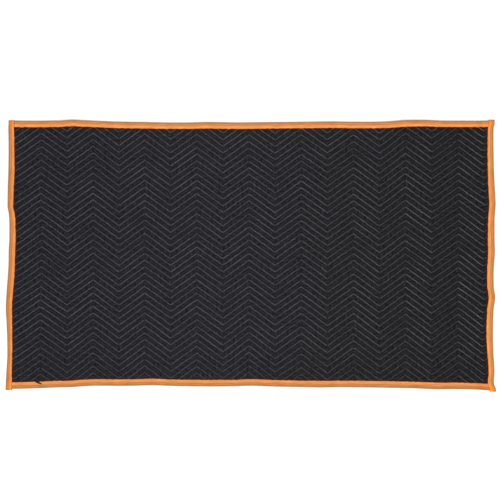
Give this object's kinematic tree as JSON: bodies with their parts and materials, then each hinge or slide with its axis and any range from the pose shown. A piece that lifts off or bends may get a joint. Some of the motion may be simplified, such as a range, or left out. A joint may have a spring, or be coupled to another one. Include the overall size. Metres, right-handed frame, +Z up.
{
  "type": "moving pad",
  "caption": "Flat rectangular moving pad with zigzag quilting on both faces and a folded tape sewn over each edge",
  "frame": {"origin": "centre of the pad's box in plan, on the surface that it lies on", "axes": "+X along the pad's length, +Y across it, +Z up out of the upper face"},
  "size_m": [1.8422, 1.0214, 0.0094],
  "materials": {
    "quilt_cloth": "black brushed polyester cloth, matt, with light grey zigzag sewing",
    "binding_tape": "orange woven polyester tape, matt, folded over the edge and sewn down its middle"
  },
  "bodies": {
    "root": {"quilted_panel": "quilt_cloth", "binding_top": "binding_tape", "binding_bottom": "binding_tape", "binding_left": "binding_tape", "binding_right": "binding_tape"}
  },
  "joints": []
}
